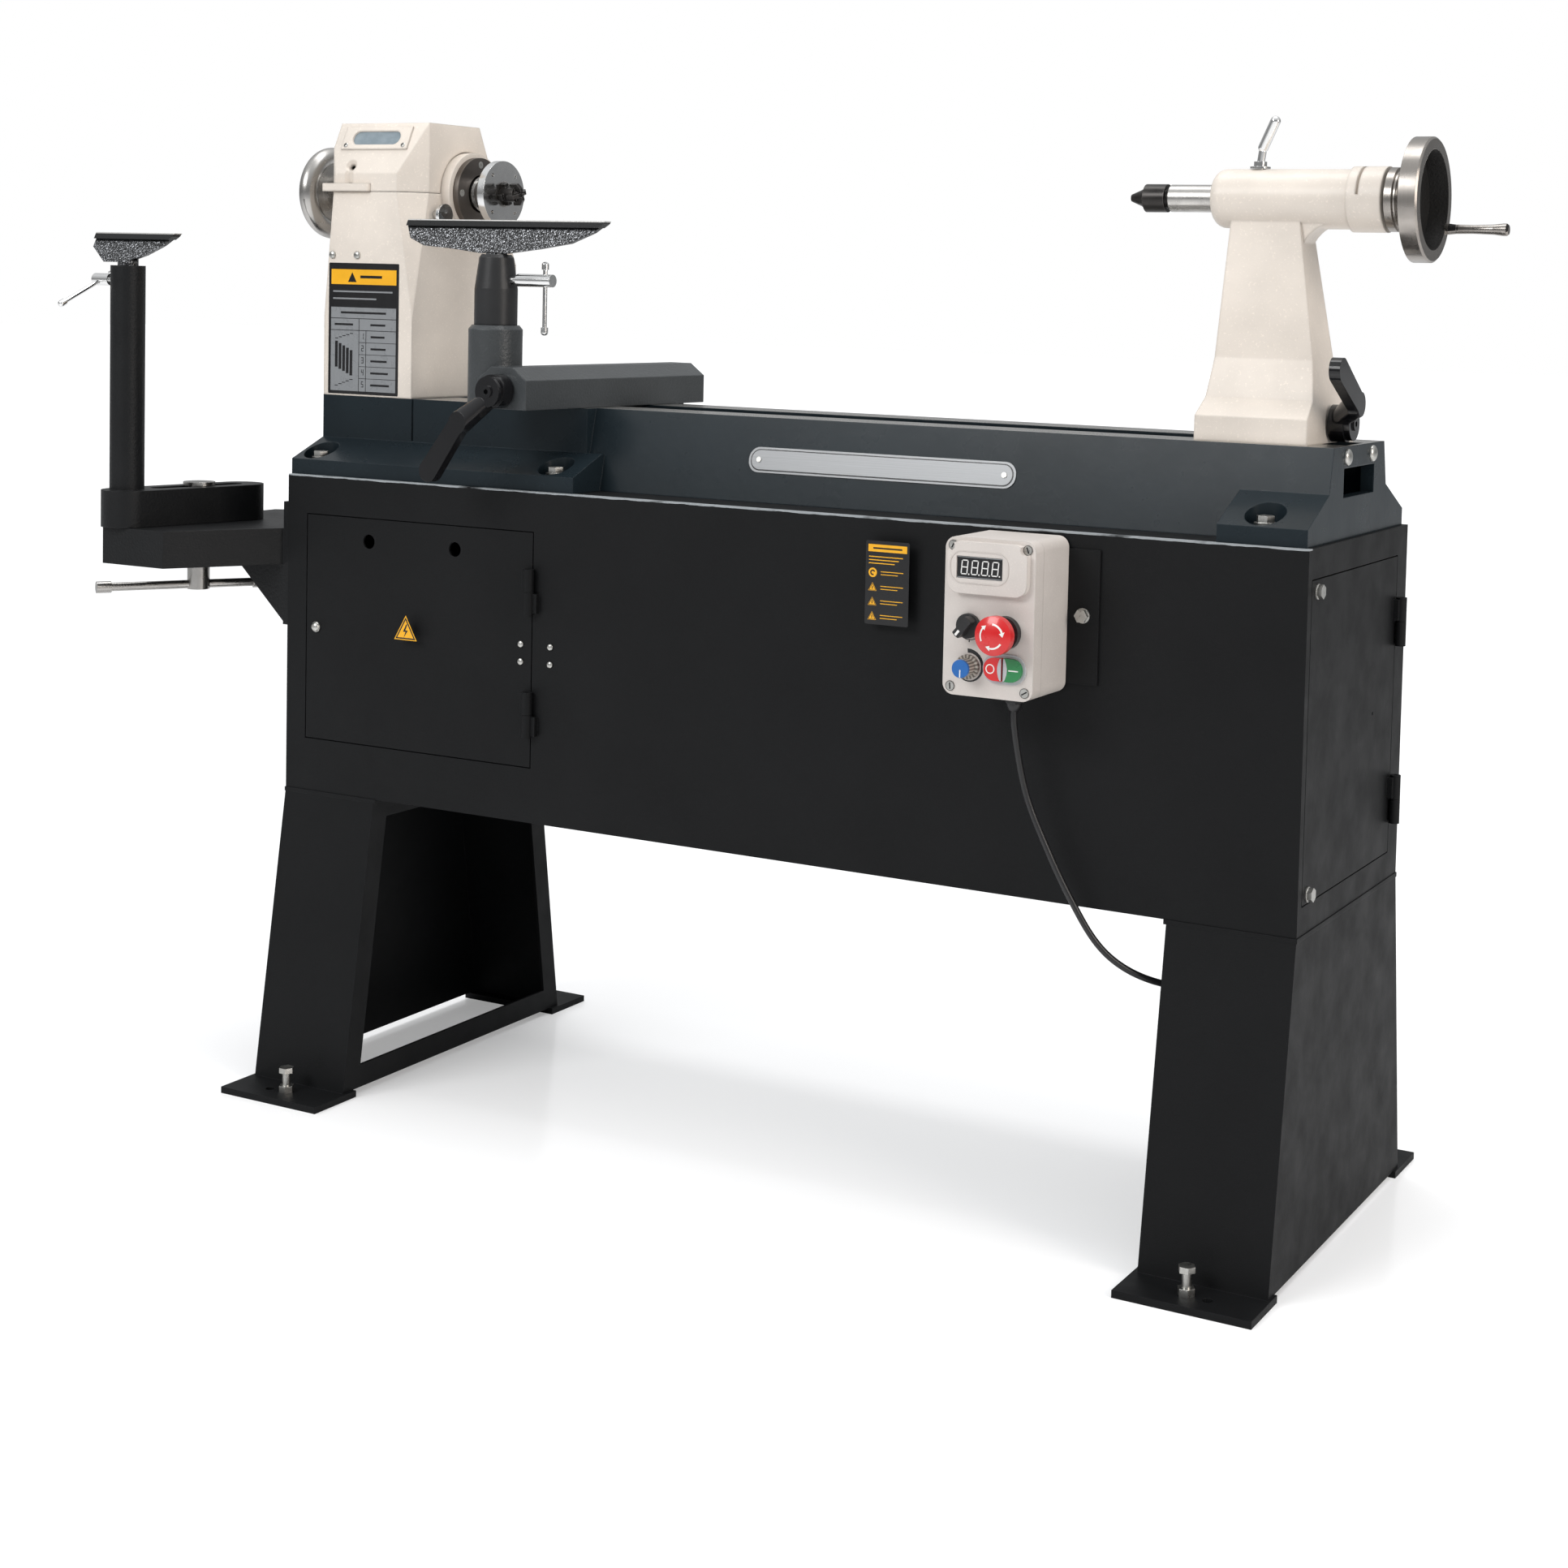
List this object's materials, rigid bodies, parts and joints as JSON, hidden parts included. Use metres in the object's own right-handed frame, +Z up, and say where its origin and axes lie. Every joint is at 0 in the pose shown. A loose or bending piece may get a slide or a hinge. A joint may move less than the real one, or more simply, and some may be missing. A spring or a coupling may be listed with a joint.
{
  "type": "wood lathe",
  "caption": "Floor-standing wood lathe with a cast bed, belt-driven headstock, sliding tailstock, swivelling tool-rest banjo and an outboard tool rest.",
  "frame": {"origin": "on the floor, at the centre of the four floor anchor holes", "axes": "+X along the bed from the headstock to the tailstock, -Y towards the operator, +Z up"},
  "size_m": [1.7062, 0.6187, 1.2086],
  "materials": {
    "black_sheet": "fine textured powder coat",
    "bed_paint": "satin paint over cast iron",
    "cream_paint": "satin paint over cast iron",
    "grey_paint": "rough hammered paint over cast iron",
    "control_box_paint": "satin powder coat",
    "machined_steel": "turned and ground",
    "zinc_steel": "zinc-plated fasteners",
    "chrome": "polished chrome",
    "dark_steel": "oil-blackened steel",
    "cast_alloy": "turned aluminium",
    "black_lever": "gloss black",
    "black_rest": "black crinkle paint, bright worn top edge",
    "motor_paint": "satin paint",
    "belt_rubber": "ribbed rubber",
    "cable_rubber": "smooth PVC",
    "black_plastic": "moulded, matte",
    "red_plastic": "moulded, gloss",
    "green_plastic": "moulded, gloss",
    "blue_plastic": "moulded, matte",
    "window": "clear acrylic"
  },
  "bodies": {
    "stand": {"cabinet": "black_sheet", "left_leg": "black_sheet", "right_leg": "black_sheet", "levelling_bolts": "zinc_steel", "bed": "bed_paint", "bed_stop_bar": "bed_paint", "hex_bolts": "zinc_steel", "small_screws": "zinc_steel", "hinge_pins": "zinc_steel", "door_switch": "black_plastic", "motor": "motor_paint", "motor_bracket": "black_sheet", "drive_belt": "belt_rubber", "inverter": "black_plastic", "control_box_base": "control_box_paint", "control_box_cover": "control_box_paint", "control_box_plate": "black_sheet", "control_cable": "cable_rubber", "headstock": "cream_paint", "spindle_bearings": "machined_steel", "bearing_cap": "dark_steel", "outboard_bracket": "black_sheet"},
    "front_door": {"front_door": "black_sheet", "front_door_screws": "zinc_steel"},
    "side_door": {"side_door": "black_sheet", "side_door_bolts": "zinc_steel"},
    "cover": {"headstock_cover": "cream_paint", "cover_window": "window"},
    "spindle": {"spindle": "machined_steel", "spindle_pulley": "cast_alloy", "faceplate": "chrome", "drive_centre": "dark_steel", "outboard_handwheel": "machined_steel"},
    "motor_shaft": {"motor_pulley": "cast_alloy"},
    "spindle_lock": {"spindle_lock": "chrome"},
    "tailstock": {"tailstock": "cream_paint"},
    "tail_clamp_plate": {"tail_clamp_plate": "machined_steel"},
    "tail_lever": {"tail_clamp_lever": "black_lever"},
    "quill": {"quill": "machined_steel"},
    "live_centre": {"live_centre": "dark_steel"},
    "tail_handwheel": {"tail_handwheel": "machined_steel", "lead_screw": "machined_steel"},
    "quill_lock": {"quill_lock_lever": "chrome"},
    "carriage": {"banjo_clamp_plate": "machined_steel"},
    "banjo_swivel": {"banjo_clamp_bolt": "machined_steel"},
    "banjo": {"banjo": "grey_paint"},
    "banjo_lever": {"banjo_lever": "black_lever"},
    "rest_holder": {"rest_holder": "grey_paint"},
    "tool_rest": {"tool_rest": "black_rest"},
    "rest_screw": {"rest_clamp_screw": "chrome"},
    "outboard_pivot": {"outboard_t_bolt": "machined_steel"},
    "outboard_arm": {"outboard_arm": "grey_paint"},
    "outboard_clamp": {"outboard_clamp_hub": "machined_steel"},
    "outboard_rest": {"outboard_rest": "black_rest"},
    "outboard_screw": {"outboard_rest_screw": "chrome"},
    "estop": {"estop_button": "red_plastic"},
    "speed_knob": {"speed_knob": "blue_plastic"},
    "direction_switch": {"direction_switch": "black_plastic"},
    "start_button": {"start_button": "green_plastic"},
    "stop_button": {"stop_button": "red_plastic"}
  },
  "joints": [
    {"name": "front_door_hinge", "type": "hinge", "parent": "stand", "child": "front_door", "pos_m": [-0.291, -0.1765, 0.572], "axis": [0, 0, 1], "range_deg": [0, 110]},
    {"name": "side_door_hinge", "type": "hinge", "parent": "stand", "child": "side_door", "pos_m": [0.6765, 0.134, 0.562], "axis": [0, 0, 1], "range_deg": [0, 110]},
    {"name": "cover_hinge", "type": "hinge", "parent": "stand", "child": "cover", "pos_m": [-0.6, 0.07161, 1.118], "axis": [-1, 0, 0], "range_deg": [0, 100]},
    {"name": "spindle_spin", "type": "hinge", "parent": "stand", "child": "spindle", "pos_m": [-0.6, 0, 1.12], "axis": [1, 0, 0], "continuous": true},
    {"name": "motor_spin", "type": "hinge", "parent": "stand", "child": "motor_shaft", "pos_m": [-0.6, 0, 0.6], "axis": [1, 0, 0], "continuous": true},
    {"name": "spindle_lock_push", "type": "slide", "parent": "stand", "child": "spindle_lock", "axis": [-1, 0, 0], "range_m": [0, 0.006]},
    {"name": "tailstock_slide", "type": "slide", "parent": "stand", "child": "tailstock", "axis": [-1, 0, 0], "range_m": [-0.02, 0.25]},
    {"name": "tail_lever_turn", "type": "hinge", "parent": "tailstock", "child": "tail_lever", "pos_m": [0.6, 0, 0.8815], "axis": [1, 0, 0], "range_deg": [-40, 30]},
    {"name": "tail_clamp_drop", "type": "slide", "parent": "tailstock", "child": "tail_clamp_plate", "axis": [0, 0, -1], "range_m": [-0.00133, 0.001]},
    {"name": "tail_handwheel_turn", "type": "hinge", "parent": "tailstock", "child": "tail_handwheel", "pos_m": [0.7, 0, 1.12], "axis": [1, 0, 0], "range_deg": [0, 7200]},
    {"name": "quill_slide", "type": "slide", "parent": "tailstock", "child": "quill", "axis": [-1, 0, 0], "range_m": [0, 0.1001]},
    {"name": "live_centre_spin", "type": "hinge", "parent": "quill", "child": "live_centre", "pos_m": [0.43, 0, 1.12], "axis": [1, 0, 0], "continuous": true},
    {"name": "quill_lock_turn", "type": "hinge", "parent": "tailstock", "child": "quill_lock", "pos_m": [0.543, 0, 1.16], "axis": [0, 0, 1], "range_deg": [-60, 60]},
    {"name": "banjo_slide", "type": "slide", "parent": "stand", "child": "carriage", "axis": [1, 0, 0], "range_m": [0, 0.2]},
    {"name": "banjo_swivel_turn", "type": "hinge", "parent": "carriage", "child": "banjo_swivel", "pos_m": [-0.301, 0, 0.86], "axis": [0, 0, 1], "range_deg": [-5, 20]},
    {"name": "banjo_reach", "type": "slide", "parent": "banjo_swivel", "child": "banjo", "axis": [0.0576, 0.9983, 0], "range_m": [-0.08, 0.02]},
    {"name": "banjo_lever_turn", "type": "hinge", "parent": "banjo", "child": "banjo_lever", "pos_m": [-0.301, 0, 0.8815], "axis": [0.0576, 0.9983, 0], "range_deg": [-90, 60]},
    {"name": "rest_holder_turn", "type": "hinge", "parent": "banjo", "child": "rest_holder", "pos_m": [-0.34989, -0.17047, 0.98], "axis": [0, 0, 1], "range_deg": [-15, 45]},
    {"name": "tool_rest_height", "type": "slide", "parent": "rest_holder", "child": "tool_rest", "axis": [0, 0, 1], "range_m": [0, 0.04]},
    {"name": "rest_screw_turn", "type": "hinge", "parent": "rest_holder", "child": "rest_screw", "pos_m": [-0.32539, -0.17047, 1.012], "axis": [1, 0, 0], "range_deg": [-60, 60]},
    {"name": "outboard_swivel", "type": "hinge", "parent": "stand", "child": "outboard_pivot", "pos_m": [-0.82, -0.17, 0.692], "axis": [0, 0, 1], "range_deg": [-40, 60]},
    {"name": "outboard_reach", "type": "slide", "parent": "outboard_pivot", "child": "outboard_arm", "axis": [-0.2108, -0.9775, 0], "range_m": [-0.055, 0.05]},
    {"name": "outboard_clamp_turn", "type": "hinge", "parent": "outboard_pivot", "child": "outboard_clamp", "pos_m": [-0.82, -0.17, 0.615], "axis": [0, 0, 1], "range_deg": [-45, 45]},
    {"name": "outboard_rest_height", "type": "slide", "parent": "outboard_arm", "child": "outboard_rest", "axis": [0, 0, 1], "range_m": [0, 0.04]},
    {"name": "outboard_screw_turn", "type": "hinge", "parent": "outboard_arm", "child": "outboard_screw", "pos_m": [-0.863, -0.272, 1], "axis": [-1, 0, 0], "range_deg": [-60, 60]},
    {"name": "estop_push", "type": "slide", "parent": "stand", "child": "estop", "axis": [0, 1, 0], "range_m": [0, 0.005]},
    {"name": "speed_knob_turn", "type": "hinge", "parent": "stand", "child": "speed_knob", "pos_m": [0.333, -0.26, 0.623], "axis": [0, 1, 0], "range_deg": [0, 270]},
    {"name": "direction_switch_turn", "type": "hinge", "parent": "stand", "child": "direction_switch", "pos_m": [0.333, -0.26, 0.666], "axis": [0, 1, 0], "range_deg": [-45, 45]},
    {"name": "start_push", "type": "slide", "parent": "stand", "child": "start_button", "axis": [0, 1, 0], "range_m": [0, 0.003]},
    {"name": "stop_push", "type": "slide", "parent": "stand", "child": "stop_button", "axis": [0, 1, 0], "range_m": [0, 0.003]}
  ],
  "couplings": [
    {"joint": "motor_spin", "follows": "spindle_spin", "ratio": 1},
    {"joint": "quill_slide", "follows": "tail_handwheel_turn", "m_per_rad": 0.00079577},
    {"joint": "tail_clamp_drop", "follows": "tail_lever_turn", "m_per_rad": 0.0019}
  ]
}
